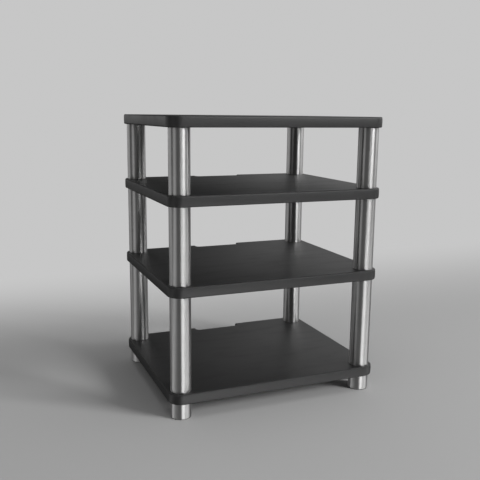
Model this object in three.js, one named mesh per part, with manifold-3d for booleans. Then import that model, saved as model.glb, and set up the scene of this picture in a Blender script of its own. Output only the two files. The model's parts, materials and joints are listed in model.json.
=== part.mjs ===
// Audio equipment rack: four board shelves on four columns of round steel tube, with feet that screw
// up and down. Millimetres, +Z up. The origin is on the floor under the middle of the rack, and the
// open front faces -Y.

import * as THREE from 'three';
import { mergeVertices } from 'three/addons/utils/BufferGeometryUtils.js';
import Module from 'manifold-3d';

// Shelf boards
const SHELF_WIDTH = 600;
const SHELF_DEPTH = 500;
const SHELF_THICKNESS = 28;
const SHELF_CORNER_RADIUS = 35;
const SHELF_EDGE_ROUND = 3;

// Clear heights under the bottom shelf and between the shelves, from the floor up
const FOOT_HEIGHT = 43;
const LOWER_BAY_HEIGHT = 250;
const MIDDLE_BAY_HEIGHT = 197;
const UPPER_BAY_HEIGHT = 161;

// Cable notch in the rear edge of the three lower shelves
const NOTCH_WIDTH = 140;
const NOTCH_DEPTH = 22;
const NOTCH_INNER_RADIUS = 10;
const NOTCH_LIP_RADIUS = 5;

// Column tubes, each with a threaded plate welded flush into either end
const COLUMN_INSET = 35;
const TUBE_DIAMETER = 54;
const TUBE_WALL = 1.5;
const TUBE_RIM_CHAMFER = 0.6;
const END_PLATE_THICKNESS = 8;

// Threaded studs, drawn at the outside diameter of their thread
const STUD_DIAMETER = 10;
const STUD_CHAMFER = 1;
const STUD_PAST_PLATE = 4;
const THREAD_CLEARANCE = 0.3;
const STUD_HOLE_CLEARANCE = 0.5;

// Threaded inserts in the underside of the top shelf, each with a little thread left free at its far end
const INSERT_DIAMETER = 16;
const INSERT_LENGTH = 18;
const INSERT_RECESS = 1;
const INSERT_CLEARANCE = 0.3;
const INSERT_TIP_ROOM = 1;
const INSERT_FREE_THREAD = 2;

// Washer and nut that clamp the bottom shelf to the lowest tubes
const WASHER_DIAMETER = 30;
const WASHER_THICKNESS = 2.5;
const NUT_ACROSS_FLATS = 17;
const NUT_HEIGHT = 8;
const NUT_TO_PLATE = 1.5;

// Screw feet: a sleeve that turns on the stud, and a glide on the floor on which it swivels
const FOOT_PLATE_THICKNESS = 8;
const FOOT_TRAVEL = 9;
const FOOT_SPARE_THREAD = 1.5;
const GLIDE_REVEAL = 1.5;
const GLIDE_SETBACK = 0.75;
const GLIDE_SPIGOT_HEIGHT = 6;
const GLIDE_SPIGOT_WALL = 3;
const GLIDE_FLOOR_THICKNESS = 2.5;
const GLIDE_CHAMFER = 0.5;
const SWIVEL_CLEARANCE = 0.6;

// One overrun for all cuts, and how finely round shapes are stepped
const CUT_OVERRUN = 1;
const TUBE_STEPS = 24;
const STUD_STEPS = 12;
const CORNER_STEPS = 4;
const EDGE_STEPS = 2;
const HEX_SIDES = 6;
const MERGE_TOLERANCE = 1e-4;

// Sizes worked out from those above
const TUBE_RADIUS = TUBE_DIAMETER / 2;
const TUBE_BORE_RADIUS = TUBE_RADIUS - TUBE_WALL;
const STUD_RADIUS = STUD_DIAMETER / 2;
const THREAD_BORE_RADIUS = STUD_RADIUS + THREAD_CLEARANCE;
const STUD_HOLE_RADIUS = STUD_RADIUS + STUD_HOLE_CLEARANCE;
const STUD_REACH = END_PLATE_THICKNESS + STUD_PAST_PLATE;
const INSERT_HOLE_DEPTH = INSERT_RECESS + INSERT_LENGTH + INSERT_TIP_ROOM;
const NUT_ROOM = WASHER_THICKNESS + NUT_HEIGHT + NUT_TO_PLATE;
const SLEEVE_LENGTH = FOOT_HEIGHT - GLIDE_REVEAL;
const STUD_BELOW_SHELF = NUT_ROOM + FOOT_PLATE_THICKNESS + FOOT_TRAVEL + FOOT_SPARE_THREAD;
const COLUMN_X = SHELF_WIDTH / 2 - COLUMN_INSET;
const COLUMN_Y = SHELF_DEPTH / 2 - COLUMN_INSET;

const BOTTOM_SHELF_Z = FOOT_HEIGHT;
const LOWER_SHELF_Z = BOTTOM_SHELF_Z + SHELF_THICKNESS + LOWER_BAY_HEIGHT;
const UPPER_SHELF_Z = LOWER_SHELF_Z + SHELF_THICKNESS + MIDDLE_BAY_HEIGHT;
const TOP_SHELF_Z = UPPER_SHELF_Z + SHELF_THICKNESS + UPPER_BAY_HEIGHT;

const CORNERS = [
  { name: 'front_left', x: -COLUMN_X, y: -COLUMN_Y },
  { name: 'front_right', x: COLUMN_X, y: -COLUMN_Y },
  { name: 'rear_left', x: -COLUMN_X, y: COLUMN_Y },
  { name: 'rear_right', x: COLUMN_X, y: COLUMN_Y },
];

const STOREYS = [
  { name: 'lower', z: BOTTOM_SHELF_Z + SHELF_THICKNESS, length: LOWER_BAY_HEIGHT },
  { name: 'middle', z: LOWER_SHELF_Z + SHELF_THICKNESS, length: MIDDLE_BAY_HEIGHT },
  { name: 'upper', z: UPPER_SHELF_Z + SHELF_THICKNESS, length: UPPER_BAY_HEIGHT },
];

const wasm = await Module();
wasm.setup();

// Finishes
const board = new THREE.MeshStandardMaterial({ color: 0x1b1b1c, roughness: 0.5, metalness: 0 });
const stainless = new THREE.MeshStandardMaterial({ color: 0xc2c2c0, roughness: 0.28, metalness: 1 });
const zincPlate = new THREE.MeshStandardMaterial({ color: 0x9fa2a4, roughness: 0.42, metalness: 1 });
const brass = new THREE.MeshStandardMaterial({ color: 0xb5934f, roughness: 0.38, metalness: 1 });
const glidePlastic = new THREE.MeshStandardMaterial({ color: 0x141414, roughness: 0.65, metalness: 0 });

// A three.js geometry as a solid that can be cut
function toSolid(geometry) {
  const bare = geometry.clone();
  bare.deleteAttribute('normal');
  bare.deleteAttribute('uv');
  const merged = mergeVertices(bare, MERGE_TOLERANCE);
  return new wasm.Manifold(new wasm.Mesh({
    numProp: 3,
    vertProperties: new Float32Array(merged.attributes.position.array),
    triVerts: new Uint32Array(merged.index.array),
  }));
}

// A cut solid back as a three.js geometry
function toGeometry(solid) {
  const mesh = solid.getMesh();
  const geometry = new THREE.BufferGeometry();
  geometry.setAttribute('position', new THREE.BufferAttribute(new Float32Array(mesh.vertProperties), 3));
  geometry.setIndex(new THREE.BufferAttribute(new Uint32Array(mesh.triVerts), 1));
  geometry.computeVertexNormals();
  return geometry;
}

// A round body about the Z axis from pairs of radius and height, listed anticlockwise in the half plane
function turned(profile, steps) {
  const points = profile.map(([radius, z]) => new THREE.Vector2(radius, z));
  return new THREE.LatheGeometry(points, steps).rotateX(Math.PI / 2);
}

// A straight cutter about the Z axis from one height to another
function roundCutter(radius, lowZ, highZ, steps) {
  const length = highZ - lowZ;
  return new THREE.CylinderGeometry(radius, radius, length, steps)
    .rotateX(Math.PI / 2)
    .translate(0, 0, lowZ + length / 2);
}

function addPiece(group, name, geometry, material, z) {
  const mesh = new THREE.Mesh(geometry, material);
  mesh.name = name;
  mesh.position.set(0, 0, z);
  group.add(mesh);
}

// Outline of a shelf seen from above, anticlockwise from the front left corner
function shelfOutline(notched) {
  const x = SHELF_WIDTH / 2;
  const y = SHELF_DEPTH / 2;
  const r = SHELF_CORNER_RADIUS;
  const quarter = Math.PI / 2;
  const outline = new THREE.Shape();
  outline.absarc(-x + r, -y + r, r, 2 * quarter, 3 * quarter, false);
  outline.absarc(x - r, -y + r, r, 3 * quarter, 4 * quarter, false);
  outline.absarc(x - r, y - r, r, 0, quarter, false);
  if (notched) {
    const half = NOTCH_WIDTH / 2;
    const lip = NOTCH_LIP_RADIUS;
    const inner = NOTCH_INNER_RADIUS;
    const floorY = y - NOTCH_DEPTH;
    outline.absarc(half + lip, y - lip, lip, quarter, 2 * quarter, false);
    outline.absarc(half - inner, floorY + inner, inner, 0, -quarter, true);
    outline.absarc(-half + inner, floorY + inner, inner, -quarter, -2 * quarter, true);
    outline.absarc(-half - lip, y - lip, lip, 0, quarter, false);
  }
  outline.absarc(-x + r, y - r, r, quarter, 2 * quarter, false);
  return outline;
}

// A board with its underside at z 0, its long edges rounded all the way round
function shelfBlank(notched) {
  const geometry = new THREE.ExtrudeGeometry(shelfOutline(notched), {
    depth: SHELF_THICKNESS - 2 * SHELF_EDGE_ROUND,
    bevelEnabled: true,
    bevelThickness: SHELF_EDGE_ROUND,
    bevelSize: SHELF_EDGE_ROUND,
    bevelOffset: -SHELF_EDGE_ROUND,
    bevelSegments: EDGE_STEPS,
    curveSegments: CORNER_STEPS,
    steps: 1,
  });
  return geometry.translate(0, 0, SHELF_EDGE_ROUND);
}

// The board with the same round hole cut at each of its four corners
function drilledShelf(notched, cutter) {
  let solid = toSolid(shelfBlank(notched));
  for (const corner of CORNERS) {
    solid = solid.subtract(toSolid(cutter.clone().translate(corner.x, corner.y, 0)));
  }
  return toGeometry(solid);
}

// A shelf with a clearance hole for each stud
function throughShelf() {
  const top = SHELF_THICKNESS + CUT_OVERRUN;
  return drilledShelf(true, roundCutter(STUD_HOLE_RADIUS, -CUT_OVERRUN, top, STUD_STEPS));
}

// The closed top shelf, with blind holes for the inserts in its underside
function closedShelf() {
  const radius = INSERT_DIAMETER / 2 + INSERT_CLEARANCE;
  return drilledShelf(false, roundCutter(radius, -CUT_OVERRUN, INSERT_HOLE_DEPTH, TUBE_STEPS));
}

// A column tube with a threaded plate flush in each end
function columnTube(length) {
  const rim = TUBE_RADIUS - TUBE_RIM_CHAMFER;
  return turned([
    [THREAD_BORE_RADIUS, 0],
    [rim, 0],
    [TUBE_RADIUS, TUBE_RIM_CHAMFER],
    [TUBE_RADIUS, length - TUBE_RIM_CHAMFER],
    [rim, length],
    [THREAD_BORE_RADIUS, length],
    [THREAD_BORE_RADIUS, length - END_PLATE_THICKNESS],
    [TUBE_BORE_RADIUS, length - END_PLATE_THICKNESS],
    [TUBE_BORE_RADIUS, END_PLATE_THICKNESS],
    [THREAD_BORE_RADIUS, END_PLATE_THICKNESS],
    [THREAD_BORE_RADIUS, 0],
  ], TUBE_STEPS);
}

// A foot sleeve, open at both ends, with its threaded plate below the room for the nut
function footSleeve() {
  const rim = TUBE_RADIUS - TUBE_RIM_CHAMFER;
  const plateTop = SLEEVE_LENGTH - NUT_ROOM;
  const plateBottom = plateTop - FOOT_PLATE_THICKNESS;
  return turned([
    [TUBE_BORE_RADIUS, 0],
    [rim, 0],
    [TUBE_RADIUS, TUBE_RIM_CHAMFER],
    [TUBE_RADIUS, SLEEVE_LENGTH - TUBE_RIM_CHAMFER],
    [rim, SLEEVE_LENGTH],
    [TUBE_BORE_RADIUS, SLEEVE_LENGTH],
    [TUBE_BORE_RADIUS, plateTop],
    [THREAD_BORE_RADIUS, plateTop],
    [THREAD_BORE_RADIUS, plateBottom],
    [TUBE_BORE_RADIUS, plateBottom],
    [TUBE_BORE_RADIUS, 0],
  ], TUBE_STEPS);
}

// The dish under a foot: a flange on the floor and a ring-shaped spigot up inside the sleeve
function footGlide() {
  const flange = TUBE_RADIUS - GLIDE_SETBACK;
  const spigot = TUBE_BORE_RADIUS - SWIVEL_CLEARANCE;
  const well = spigot - GLIDE_SPIGOT_WALL;
  const top = GLIDE_REVEAL + GLIDE_SPIGOT_HEIGHT;
  return turned([
    [0, 0],
    [flange - GLIDE_CHAMFER, 0],
    [flange, GLIDE_CHAMFER],
    [flange, GLIDE_REVEAL],
    [spigot, GLIDE_REVEAL],
    [spigot, top],
    [well, top],
    [well, GLIDE_FLOOR_THICKNESS],
    [0, GLIDE_FLOOR_THICKNESS],
  ], TUBE_STEPS);
}

function stud(length) {
  const tip = STUD_RADIUS - STUD_CHAMFER;
  return turned([
    [0, 0],
    [tip, 0],
    [STUD_RADIUS, STUD_CHAMFER],
    [STUD_RADIUS, length - STUD_CHAMFER],
    [tip, length],
    [0, length],
  ], STUD_STEPS);
}

// A plain ring such as a washer or a threaded bush
function ring(outerRadius, boreRadius, height, steps) {
  return turned([
    [boreRadius, 0],
    [outerRadius, 0],
    [outerRadius, height],
    [boreRadius, height],
    [boreRadius, 0],
  ], steps);
}

function hexNut() {
  const outline = new THREE.Shape();
  const cornerRadius = NUT_ACROSS_FLATS / 2 / Math.cos(Math.PI / HEX_SIDES);
  for (let side = 0; side < HEX_SIDES; side += 1) {
    const angle = (2 * Math.PI * side) / HEX_SIDES;
    const x = cornerRadius * Math.cos(angle);
    const y = cornerRadius * Math.sin(angle);
    if (side === 0) outline.moveTo(x, y);
    else outline.lineTo(x, y);
  }
  const bore = new THREE.Path();
  bore.absarc(0, 0, THREAD_BORE_RADIUS, 0, 2 * Math.PI, true);
  outline.holes.push(bore);
  return new THREE.ExtrudeGeometry(outline, {
    depth: NUT_HEIGHT,
    bevelEnabled: false,
    curveSegments: STUD_STEPS / 2,
  });
}

const rack = new THREE.Group();

// The boards
addPiece(rack, 'bottom_shelf', throughShelf(), board, BOTTOM_SHELF_Z);
addPiece(rack, 'lower_shelf', throughShelf(), board, LOWER_SHELF_Z);
addPiece(rack, 'upper_shelf', throughShelf(), board, UPPER_SHELF_Z);
addPiece(rack, 'top_shelf', closedShelf(), board, TOP_SHELF_Z);

// Everything that stands on one column axis
for (const corner of CORNERS) {
  const column = new THREE.Group();
  column.position.set(corner.x, corner.y, 0);
  rack.add(column);

  addPiece(column, `foot_glide_${corner.name}`, footGlide(), glidePlastic, 0);
  addPiece(column, `foot_sleeve_${corner.name}`, footSleeve(), stainless, GLIDE_REVEAL);

  const washerZ = BOTTOM_SHELF_Z - WASHER_THICKNESS;
  const washer = ring(WASHER_DIAMETER / 2, STUD_HOLE_RADIUS, WASHER_THICKNESS, STUD_STEPS);
  addPiece(column, `clamp_washer_${corner.name}`, washer, zincPlate, washerZ);
  addPiece(column, `clamp_nut_${corner.name}`, hexNut(), zincPlate, washerZ - NUT_HEIGHT);

  const levellingStud = stud(STUD_BELOW_SHELF + SHELF_THICKNESS + STUD_REACH);
  const levellingStudZ = BOTTOM_SHELF_Z - STUD_BELOW_SHELF;
  addPiece(column, `levelling_stud_${corner.name}`, levellingStud, zincPlate, levellingStudZ);

  const jointStud = stud(SHELF_THICKNESS + 2 * STUD_REACH);
  addPiece(column, `lower_stud_${corner.name}`, jointStud, zincPlate, LOWER_SHELF_Z - STUD_REACH);
  addPiece(column, `upper_stud_${corner.name}`, jointStud, zincPlate, UPPER_SHELF_Z - STUD_REACH);

  const topStud = stud(STUD_REACH + INSERT_RECESS + INSERT_LENGTH - INSERT_FREE_THREAD);
  addPiece(column, `top_stud_${corner.name}`, topStud, zincPlate, TOP_SHELF_Z - STUD_REACH);

  const insert = ring(INSERT_DIAMETER / 2, THREAD_BORE_RADIUS, INSERT_LENGTH, STUD_STEPS);
  addPiece(column, `top_insert_${corner.name}`, insert, brass, TOP_SHELF_Z + INSERT_RECESS);

  for (const storey of STOREYS) {
    addPiece(column, `${storey.name}_tube_${corner.name}`, columnTube(storey.length), stainless, storey.z);
  }
}

export default rack;
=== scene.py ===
"""The finished look of an audio equipment rack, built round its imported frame.

Four satin black boards are carried by columns of fine-brushed stainless tube. Threaded studs
clamp them together, and the rack stands on four screw feet. Metres, +Z up, open front to -Y.
"""

import json
import logging
import math
from abc import ABC, abstractmethod
from collections.abc import Callable, Iterator, Mapping, Sequence
from dataclasses import dataclass, field, replace
from enum import Enum
from typing import ClassVar

import bmesh
import bpy
from mathutils import Matrix, Vector


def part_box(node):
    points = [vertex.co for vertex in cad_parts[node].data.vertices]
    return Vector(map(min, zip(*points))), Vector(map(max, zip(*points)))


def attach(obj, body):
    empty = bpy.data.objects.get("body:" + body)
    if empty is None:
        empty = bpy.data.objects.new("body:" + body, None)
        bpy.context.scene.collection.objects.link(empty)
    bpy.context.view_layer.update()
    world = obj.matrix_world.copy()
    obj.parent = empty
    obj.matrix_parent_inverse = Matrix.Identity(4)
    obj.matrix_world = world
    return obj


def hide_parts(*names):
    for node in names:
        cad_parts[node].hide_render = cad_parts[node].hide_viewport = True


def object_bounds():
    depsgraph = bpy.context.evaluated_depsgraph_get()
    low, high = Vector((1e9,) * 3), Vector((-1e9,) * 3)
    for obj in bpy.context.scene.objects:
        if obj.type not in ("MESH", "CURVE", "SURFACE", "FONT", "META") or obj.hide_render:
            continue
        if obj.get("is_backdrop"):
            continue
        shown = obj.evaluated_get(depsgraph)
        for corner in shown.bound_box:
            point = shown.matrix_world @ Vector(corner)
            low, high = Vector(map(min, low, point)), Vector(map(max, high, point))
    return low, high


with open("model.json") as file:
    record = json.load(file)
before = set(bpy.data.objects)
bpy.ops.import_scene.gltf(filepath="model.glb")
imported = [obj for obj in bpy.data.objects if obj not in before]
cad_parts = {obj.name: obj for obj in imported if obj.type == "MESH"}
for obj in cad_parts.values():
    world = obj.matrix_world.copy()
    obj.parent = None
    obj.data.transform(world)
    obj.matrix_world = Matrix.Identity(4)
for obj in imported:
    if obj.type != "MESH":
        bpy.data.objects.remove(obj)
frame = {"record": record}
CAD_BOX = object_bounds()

LOG = logging.getLogger("rack")
MM = 0.001
EDGE_ATTRIBUTE = "edge"
SIDE_ATTRIBUTE = "side"
GLOW_ATTRIBUTE = "glow"
FULL_TURN = 2 * math.pi
QUARTER = math.pi / 2
WELD_DISTANCE = 0.001 * MM
CREASE_ANGLE = math.radians(32)
SPARE_TURNS = 3.0

# The places of the Mix node's two colours and of their mix
MIX_FIRST, MIX_SECOND, MIX_RESULT = 6, 7, 2

Point = tuple[float, float]
Span = tuple[float, float]
RingRule = Callable[[float], Point]
Triple = tuple[float, float, float]
Ring = Sequence[bmesh.types.BMVert]
Colour = Triple | bpy.types.NodeSocket


class Slot(Enum):
    """The material slots of the record."""

    BLACK_BOARD = "black_board"
    STAINLESS = "stainless"
    ZINC_STEEL = "zinc_steel"
    BRASS = "brass"
    GLIDE_PLASTIC = "glide_plastic"


class HoleKind(Enum):
    """How a board is drilled at its columns."""

    THROUGH = "through"
    BLIND = "blind"


# Node trees


class Value:
    """A number socket on which plain arithmetic adds Math nodes."""

    def __init__(self, graph: "Graph", socket: bpy.types.NodeSocket) -> None:
        """Wrap one output socket of a graph."""
        self.graph = graph
        self.socket = socket

    def __add__(self, other: "Value | float") -> "Value":
        """Add another value."""
        return self.graph.math("ADD", self, other)

    def __radd__(self, other: float) -> "Value":
        """Add to a plain number."""
        return self.graph.math("ADD", other, self)

    def __sub__(self, other: "Value | float") -> "Value":
        """Subtract another value."""
        return self.graph.math("SUBTRACT", self, other)

    def __rsub__(self, other: float) -> "Value":
        """Subtract from a plain number."""
        return self.graph.math("SUBTRACT", other, self)

    def __mul__(self, other: "Value | float") -> "Value":
        """Multiply by another value."""
        return self.graph.math("MULTIPLY", self, other)

    def __rmul__(self, other: float) -> "Value":
        """Multiply a plain number."""
        return self.graph.math("MULTIPLY", other, self)

    def __truediv__(self, other: "Value | float") -> "Value":
        """Divide by another value."""
        return self.graph.math("DIVIDE", self, other)

    def __rtruediv__(self, other: float) -> "Value":
        """Divide a plain number."""
        return self.graph.math("DIVIDE", other, self)

    def __neg__(self) -> "Value":
        """Turn the sign round."""
        return self.graph.math("MULTIPLY", self, -1.0)

    def __abs__(self) -> "Value":
        """Drop the sign."""
        return self.graph.math("ABSOLUTE", self)

    def within(self, low: float, high: "Value | float") -> "Value":
        """Keep the value between two limits."""
        return self.graph.math("MINIMUM", self.graph.math("MAXIMUM", self, low), high)

    def above(self, limit: "Value | float") -> "Value":
        """Give 1 where the value is above a limit, and 0 elsewhere."""
        return self.graph.math("GREATER_THAN", self, limit)

    def tooth(self) -> "Value":
        """Give a triangle wave of the value: 1 at whole numbers, 0 half way between them."""
        return abs(2.0 * self.graph.math("FRACT", self) - 1.0)

    def swing(self) -> "Value":
        """Give how far a pattern from 0 to 1 is from its middle."""
        return self - 0.5

    def rise(self, start: float, end: float) -> "Value":
        """Rise smoothly from 0 to 1.

        Args:
            start: The value at which the rise begins.
            end: The value at which it has reached 1.

        Returns:
            The share from 0 to 1.
        """
        settings = {"interpolation_type": "SMOOTHSTEP"}
        sockets = {"Value": self, "From Min": start, "From Max": end}
        return self.graph.value("ShaderNodeMapRange", settings, sockets)


@dataclass(frozen=True)
class Pattern:
    """A cloudy pattern: its blotches' size, its finer layers and a factor along each axis."""

    size: float
    detail: float = 2.0
    stretch: Triple = (1.0, 1.0, 1.0)


class Graph:
    """A node tree that is filled by one short call for each node."""

    def __init__(self, tree: bpy.types.NodeTree) -> None:
        """Empty a tree and keep it."""
        self.tree = tree
        self.tree.nodes.clear()

    def node(
        self,
        kind: str,
        settings: Mapping[str, object] | None = None,
        sockets: Mapping[str | int, object] | None = None,
    ) -> bpy.types.Node:
        """Add a node.

        Args:
            kind: The node's type.
            settings: Its properties, which are set first.
            sockets: Values or links for its inputs, by name or number.

        Returns:
            The new node.
        """
        made = self.tree.nodes.new(kind)
        for name, setting in (settings or {}).items():
            setattr(made, name, setting)
        for name, value in (sockets or {}).items():
            source = value.socket if isinstance(value, Value) else value
            if isinstance(source, bpy.types.NodeSocket):
                self.tree.links.new(source, made.inputs[name])
            else:
                made.inputs[name].default_value = source
        return made

    def value(
        self,
        kind: str,
        settings: Mapping[str, object] | None = None,
        sockets: Mapping[str | int, object] | None = None,
        output: str | int = 0,
    ) -> Value:
        """Add a node and take one of its outputs for arithmetic.

        Args:
            kind: The node's type.
            settings: Its properties.
            sockets: Values or links for its inputs.
            output: Which output to take.

        Returns:
            The output.
        """
        return Value(self, self.node(kind, settings, sockets).outputs[output])

    def math(self, operation: str, *operands: Value | float) -> Value:
        """Add a Math node.

        Args:
            operation: The operation's name.
            operands: What goes into the node's sockets, in order.

        Returns:
            The node's result.
        """
        return self.value("ShaderNodeMath", {"operation": operation}, dict(enumerate(operands)))

    def axes(self, vector: bpy.types.NodeSocket) -> list[Value]:
        """Split a vector into its three numbers."""
        outputs = self.node("ShaderNodeSeparateXYZ", {}, {0: vector}).outputs
        return [Value(self, output) for output in outputs]

    def vector(self, x: Value | float, y: Value | float, z: Value | float) -> bpy.types.NodeSocket:
        """Join three numbers into a vector."""
        return self.node("ShaderNodeCombineXYZ", {}, {0: x, 1: y, 2: z}).outputs[0]

    def place(self, stretch: Triple = (1.0, 1.0, 1.0)) -> bpy.types.NodeSocket:
        """Read the object's own coordinates.

        Args:
            stretch: A factor along each axis.

        Returns:
            The vector socket.
        """
        own = self.node("ShaderNodeTexCoord").outputs["Object"]
        return self.node("ShaderNodeMapping", {}, {"Vector": own, "Scale": stretch}).outputs["Vector"]

    def noise(self, pattern: Pattern) -> Value:
        """Add a cloudy pattern from 0 to 1, which stays with the object.

        Args:
            pattern: Its sizes.

        Returns:
            The pattern.
        """
        place = self.place(pattern.stretch)
        sockets = {"Vector": place, "Scale": 1 / pattern.size, "Detail": pattern.detail}
        return self.value("ShaderNodeTexNoise", {}, sockets)

    def attribute(self, name: str) -> Value:
        """Read a number that the mesh holds for each vertex."""
        return self.value("ShaderNodeAttribute", {"attribute_name": name}, {}, "Fac")

    def relief(
        self, height: Value, depth: float, under: bpy.types.NodeSocket | None = None
    ) -> bpy.types.NodeSocket:
        """Turn a pattern into a fine relief.

        Args:
            height: The pattern, from 0 to 1.
            depth: How deep it is, in metres.
            under: The coarser relief that it lies on, if there is one.

        Returns:
            The normal socket.
        """
        sockets = {"Height": height, "Distance": depth}
        if under is not None:
            sockets["Normal"] = under
        return self.node("ShaderNodeBump", {}, sockets).outputs["Normal"]

    def shade(self, share: Value, first: Colour, second: Colour) -> bpy.types.NodeSocket:
        """Mix two colours.

        Args:
            share: How much of the second colour shows.
            first: The colour at 0, plain or from another mix.
            second: The colour at 1, plain or from another mix.

        Returns:
            The colour socket.
        """
        ends = [(*end, 1.0) if isinstance(end, tuple) else end for end in (first, second)]
        sockets = {0: share, MIX_FIRST: ends[0], MIX_SECOND: ends[1]}
        return self.node("ShaderNodeMix", {"data_type": "RGBA"}, sockets).outputs[MIX_RESULT]


class Recipe:
    """A geometry node tree with named inputs, which is run once for each piece."""

    def __init__(self, title: str, inputs: Mapping[str, str]) -> None:
        """Start a tree.

        Args:
            title: The tree's name.
            inputs: Each input's name and the kind of its socket, without the mesh and the finish.
        """
        self.tree = bpy.data.node_groups.new(title, "GeometryNodeTree")
        self.identifiers: dict[str, str] = {}
        sockets = {"Mesh": "NodeSocketGeometry", **inputs, "Finish": "NodeSocketMaterial"}
        for name, kind in sockets.items():
            made = self.tree.interface.new_socket(name, in_out="INPUT", socket_type=kind)
            self.identifiers[name] = made.identifier
        self.tree.interface.new_socket("Mesh", in_out="OUTPUT", socket_type="NodeSocketGeometry")
        self.graph = Graph(self.tree)
        self.inputs = self.graph.node("NodeGroupInput")

    def size(self, name: str) -> Value:
        """Give one named input for arithmetic."""
        return Value(self.graph, self.inputs.outputs[name])

    def close(self, geometry: bpy.types.NodeSocket) -> None:
        """End the tree with real mesh in the finish that was asked for."""
        real = self.graph.node("GeometryNodeRealizeInstances", {}, {0: geometry}).outputs[0]
        sockets = {"Geometry": real, "Material": self.inputs.outputs["Finish"]}
        finished = self.graph.node("GeometryNodeSetMaterial", {}, sockets).outputs[0]
        self.graph.node("NodeGroupOutput", {}, {0: finished})

    def run(self, holder: bpy.types.Object, values: Mapping[str, object]) -> None:
        """Run the tree on an object and keep the result as its plain mesh.

        Args:
            holder: The object, already in the scene.
            values: A value for each named input.
        """
        modifier = holder.modifiers.new(self.tree.name, "NODES")
        modifier.node_group = self.tree
        for name, value in values.items():
            modifier[self.identifiers[name]] = value
        evaluated = holder.evaluated_get(bpy.context.evaluated_depsgraph_get())
        made = bpy.data.meshes.new_from_object(evaluated)
        holder.modifiers.remove(modifier)
        start = holder.data
        holder.data = made
        bpy.data.meshes.remove(start)


def thread_recipe() -> Recipe:
    """Write the tree of a threaded rod with bevelled tips.

    A grid is rolled into a rod. Its rows climb by one pitch a turn, so that the end of each turn
    meets the start of the next, and a row's place in its turn sets how deep it lies. The spare
    turns past the ends are pressed flat into the tips.

    Returns:
        The recipe.
    """
    lengths = ("Length", "Radius", "Pitch", "Thread Depth", "Tip Bevel", "Crest Share", "Root Share")
    counts = ("Steps Around", "Rows A Turn")
    recipe = Recipe(
        "threaded_rod",
        {**dict.fromkeys(lengths, "NodeSocketFloat"), **dict.fromkeys(counts, "NodeSocketInt")},
    )
    graph = recipe.graph
    length, radius, pitch, depth, bevel, crest, root = (recipe.size(name) for name in lengths)
    around, rows = (recipe.size(name) for name in counts)
    turns = graph.math("CEIL", length / pitch) + SPARE_TURNS
    sheet = {"Size X": 1.0, "Size Y": 1.0, "Vertices X": around + 1.0, "Vertices Y": turns * rows + 1.0}
    grid = graph.node("GeometryNodeMeshGrid", {}, sheet).outputs[0]
    x, y, _ = graph.axes(graph.node("GeometryNodeInputPosition").outputs[0])
    turn = x + 0.5
    row = (y + 0.5) * turns
    height = ((row - 1.0 - turn) * pitch).within(0.0, length)
    half_row = 0.5 / rows
    groove = ((1.0 - (row + half_row).tooth() - crest) / (1.0 - crest - root)).within(0.0, 1.0)
    tip = radius - bevel + graph.math("MINIMUM", height, length - height)
    not_end = row.above(half_row) * (turns - row).above(half_row)
    reach = graph.math("MINIMUM", radius - depth * groove, tip) * not_end
    angle = turn * FULL_TURN
    across, along = reach * graph.math("COSINE", angle), reach * graph.math("SINE", angle)
    rolled = graph.vector(across, along, height)
    rod = graph.node("GeometryNodeSetPosition", {}, {"Geometry": grid, "Position": rolled}).outputs[0]
    merge = {"Geometry": rod, "Distance": WELD_DISTANCE}
    recipe.close(graph.node("GeometryNodeMergeByDistance", {}, merge).outputs[0])
    return recipe


def knurl_recipe() -> Recipe:
    """Write the tree that presses straight knurling into the outermost rings of a turned body.

    Returns:
        The recipe.
    """
    lengths = ("Outer Radius", "Teeth", "Tooth Depth")
    recipe = Recipe("straight_knurl", dict.fromkeys(lengths, "NodeSocketFloat"))
    graph = recipe.graph
    outer, teeth, depth = (recipe.size(name) for name in lengths)
    x, y, _ = graph.axes(graph.node("GeometryNodeInputPosition").outputs[0])
    radius = graph.math("SQRT", x * x + y * y)
    turn = graph.math("ARCTAN2", y, x) / FULL_TURN
    sunk = (1.0 - (turn * teeth).tooth()) * depth * radius.above(outer - depth / 2.0)
    share = -(sunk / radius)
    inward = graph.vector(x * share, y * share, 0.0)
    sockets = {"Geometry": recipe.inputs.outputs["Mesh"], "Offset": inward}
    recipe.close(graph.node("GeometryNodeSetPosition", {}, sockets).outputs[0])
    return recipe


# Finishes


def blank_material(title: str) -> tuple[bpy.types.Material, Graph]:
    """Make an empty material and the graph that fills it."""
    made = bpy.data.materials.new(title)
    made.use_nodes = True
    return made, Graph(made.node_tree)


@dataclass(frozen=True)
class Finish(ABC):
    """A surface finish made of shader nodes."""

    slot: ClassVar[Slot]

    @abstractmethod
    def constants(self) -> dict[str, object]:
        """Give the sockets that are the same all over the surface."""

    @abstractmethod
    def surface(self, graph: Graph) -> dict[str, object]:
        """Give the sockets that change over the surface."""

    def material(self) -> bpy.types.Material:
        """Build the finish.

        Returns:
            The material.
        """
        made, graph = blank_material(self.slot.value)
        sockets = {**self.constants(), **self.surface(graph)}
        shader = graph.node("ShaderNodeBsdfPrincipled", {}, sockets)
        graph.node("ShaderNodeOutputMaterial", {}, {"Surface": shader.outputs["BSDF"]})
        return made


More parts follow.
